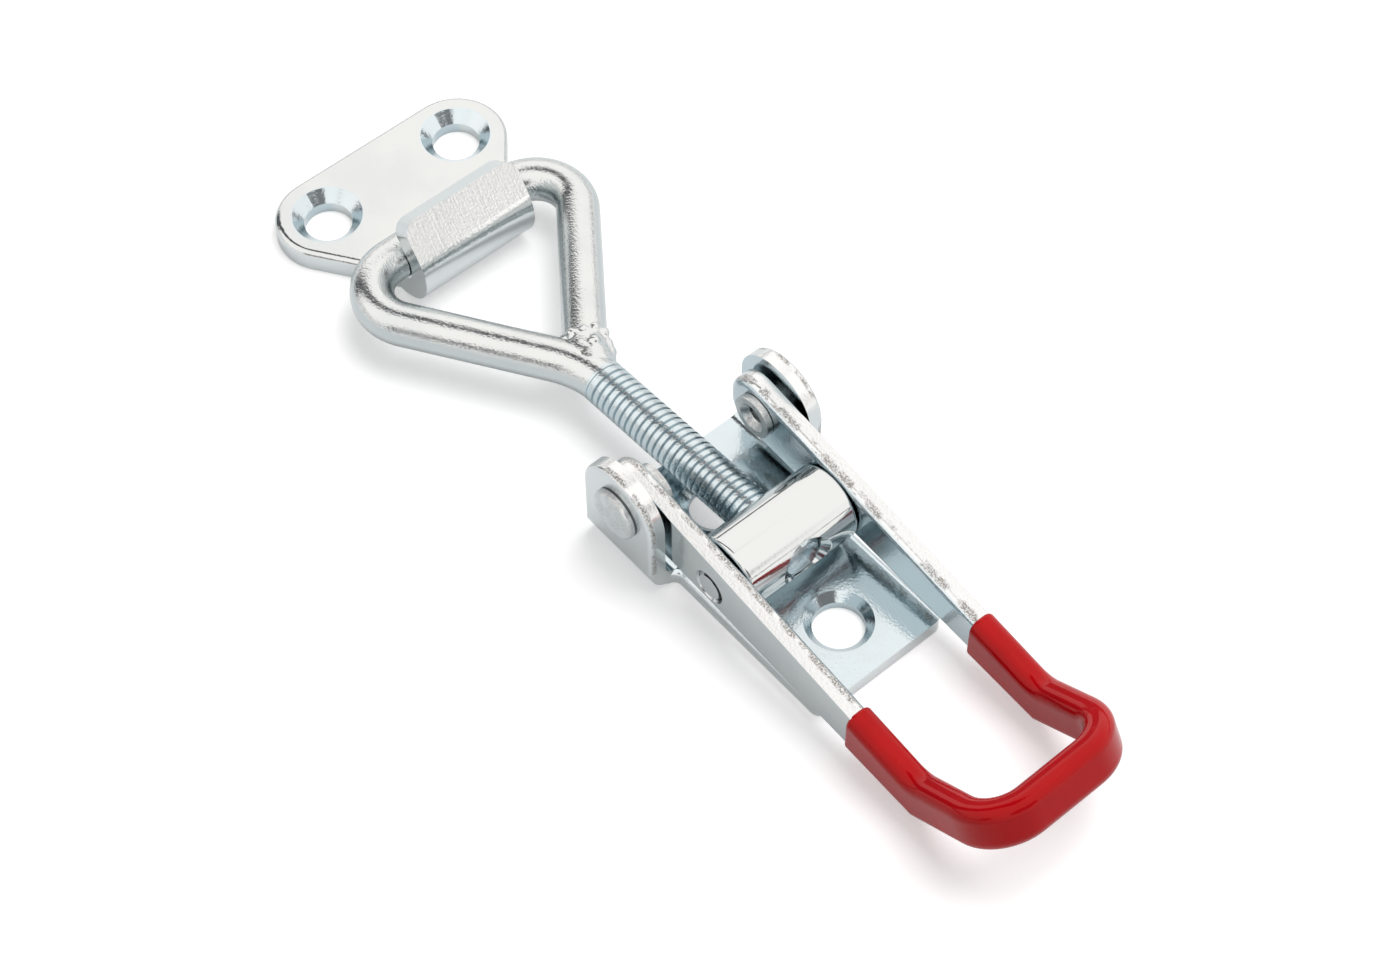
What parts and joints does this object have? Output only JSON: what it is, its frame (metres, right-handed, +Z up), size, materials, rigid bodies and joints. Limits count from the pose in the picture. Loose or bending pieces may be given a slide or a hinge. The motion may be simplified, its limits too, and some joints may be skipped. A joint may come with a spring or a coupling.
{
  "type": "over centre toggle latch",
  "caption": "Adjustable over-centre toggle latch: a lever with a dipped grip pulls a screwed triangular draw bail against a hooked catch plate.",
  "frame": {"origin": "underside of the base plate, midway between its two countersunk screw holes on the latch's centre line", "axes": "+X towards the lever's grip, along the latch; +Y across it; +Z up, away from the surface the latch is screwed to"},
  "size_m": [0.1329, 0.0361, 0.017],
  "materials": {
    "zinc_sheet": "bright zinc plate, satin, speckled on sheared edges",
    "zinc_rivet": "bright zinc plate, dull",
    "zinc_turned": "bright zinc plate, polished",
    "zinc_wire": "bright zinc plate on drawn wire",
    "red_grip": "glossy dip-moulded plastic"
  },
  "bodies": {
    "base": {"base_plate": "zinc_sheet", "pivot_rivet_left": "zinc_rivet", "pivot_rivet_right": "zinc_rivet"},
    "handle": {"lever": "zinc_sheet", "grip_coating": "red_grip"},
    "bolt": {"cross_bolt": "zinc_turned"},
    "bail": {"draw_bail": "zinc_wire"},
    "catch": {"catch_plate": "zinc_sheet"}
  },
  "joints": [
    {"name": "handle_swing", "type": "hinge", "parent": "base", "child": "handle", "pos_m": [-0.013, 0, 0.0109], "axis": [0, -1, 0], "range_deg": [0, 150]},
    {"name": "bolt_turn", "type": "hinge", "parent": "handle", "child": "bolt", "pos_m": [0.00025, 0, 0.00765], "axis": [0, -1, 0], "range_deg": [-150, 0]},
    {"name": "bail_adjust", "type": "slide", "parent": "bolt", "child": "bail", "axis": [0.9993, 0.0262, 0.0255], "range_m": [-0.005, 0.012]},
    {"name": "catch_swing", "type": "hinge", "parent": "bail", "child": "catch", "pos_m": [-0.06335, 0, 0.00603], "axis": [0, 1, 0], "range_deg": [-30, 60]}
  ],
  "couplings": [
    {"joint": "bolt_turn", "follows": "handle_swing", "ratio": -1}
  ]
}
